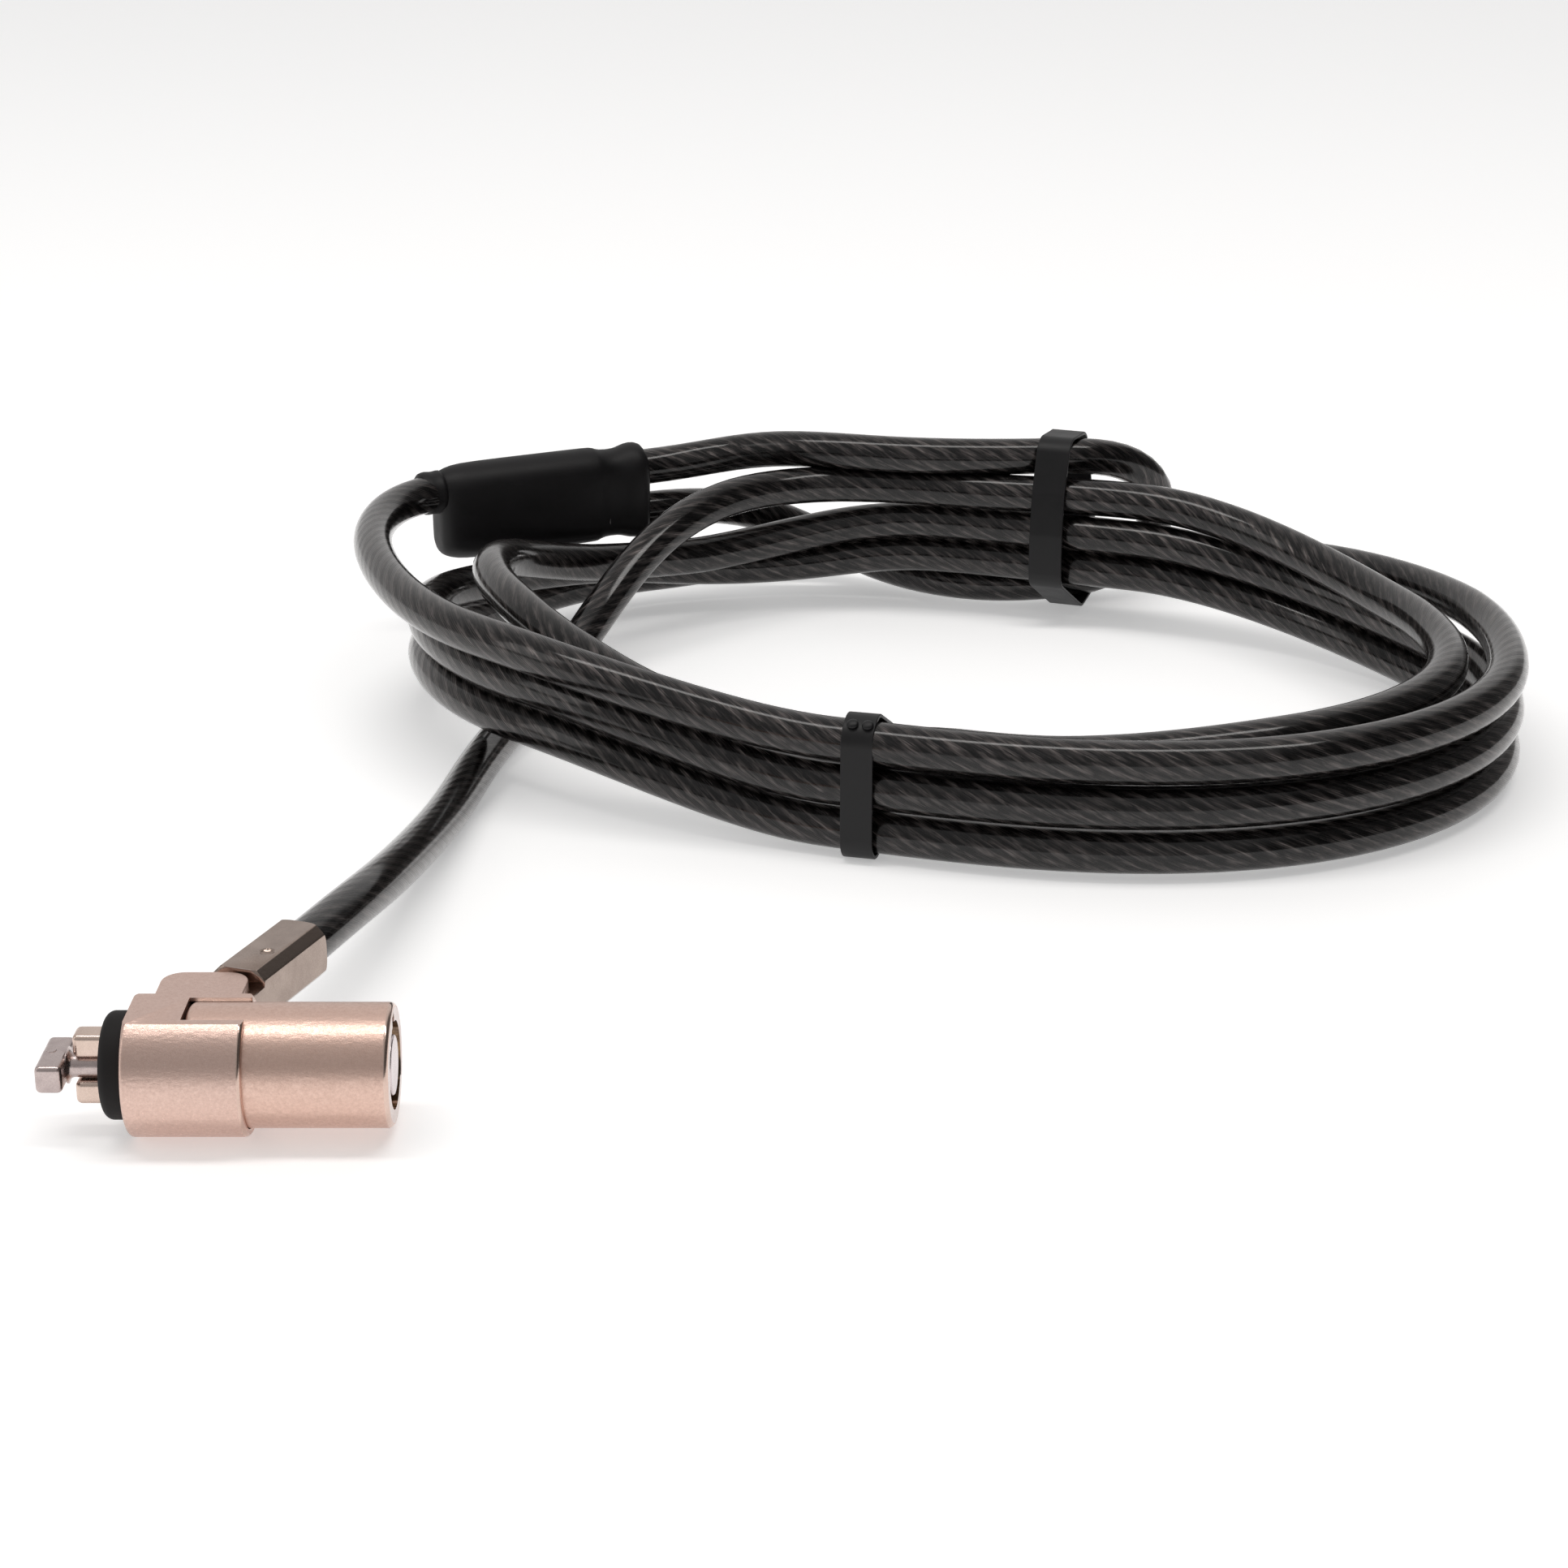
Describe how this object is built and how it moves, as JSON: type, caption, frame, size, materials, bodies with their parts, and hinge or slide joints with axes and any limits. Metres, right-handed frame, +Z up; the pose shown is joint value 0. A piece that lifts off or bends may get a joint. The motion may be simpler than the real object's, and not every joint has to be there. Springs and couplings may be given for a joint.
{
  "type": "laptop cable lock",
  "caption": "Keyed laptop lock: barrel with quarter-turn T-bar in a slotted collar, hinged ferrule, and a coated steel rope coiled and strapped with its looped end.",
  "frame": {"origin": "centre of the rubber washer's front face, on the lock's axis", "axes": "+X along the lock's axis to the key end, +Z up, coil behind the head towards +Y"},
  "size_m": [0.1464, 0.1747, 0.0255],
  "materials": {
    "collar_satin": "satin champagne nickel over a cast surface, fine grain, worn bright edges",
    "barrel_satin": "satin champagne nickel, turned, polished rim",
    "steel_bright": "satin nickelled steel",
    "steel_dark": "plain machined steel",
    "core_brass": "machined nickelled brass",
    "black_rubber": "soft matte black rubber",
    "cable_jacket": "smoky clear PVC over twisted steel strand",
    "sleeve_black": "moulded satin black plastic",
    "tie_black": "flat black strap"
  },
  "bodies": {
    "cable": {"ferrule": "collar_satin", "strand_end": "steel_dark", "cable_lead": "cable_jacket", "cable_coil": "cable_jacket", "cable_tail": "cable_jacket", "cable_eye": "cable_jacket", "eye_sleeve": "sleeve_black", "eye_crimp": "steel_dark", "front_tie": "tie_black", "back_tie": "tie_black"},
    "collar": {"collar": "collar_satin", "collar_ring": "steel_dark", "pivot_pin": "barrel_satin"},
    "barrel": {"barrel": "barrel_satin", "nose_block": "steel_bright", "rubber_washer": "black_rubber", "stator": "core_brass", "stator_pin": "steel_dark", "pin_springs": "steel_dark"},
    "core": {"lock_core": "steel_dark", "core_post": "core_brass", "core_pin": "steel_dark", "t_bar": "steel_bright"},
    "driver_pins": {"driver_pins": "steel_dark"},
    "key_pins": {"key_pins": "core_brass"}
  },
  "joints": [
    {"name": "head_swing", "type": "hinge", "parent": "cable", "child": "collar", "pos_m": [0.0088, 0.0091, 0.0015], "axis": [0, 0, 1], "range_deg": [-20, 68]},
    {"name": "barrel_turn", "type": "hinge", "parent": "collar", "child": "barrel", "pos_m": [0, 0, 0], "axis": [1, 0, 0], "continuous": true},
    {"name": "core_turn", "type": "hinge", "parent": "barrel", "child": "core", "pos_m": [0, 0, 0], "axis": [1, 0, 0], "range_deg": [0, 90]},
    {"name": "driver_push", "type": "slide", "parent": "barrel", "child": "driver_pins", "axis": [1, 0, 0], "range_m": [0, 0.0012], "deforming": ["pin_springs"]},
    {"name": "key_pin_push", "type": "slide", "parent": "core", "child": "key_pins", "axis": [1, 0, 0], "range_m": [0, 0.0012]}
  ],
  "couplings": [
    {"joint": "key_pin_push", "follows": "driver_push", "ratio": 1}
  ]
}
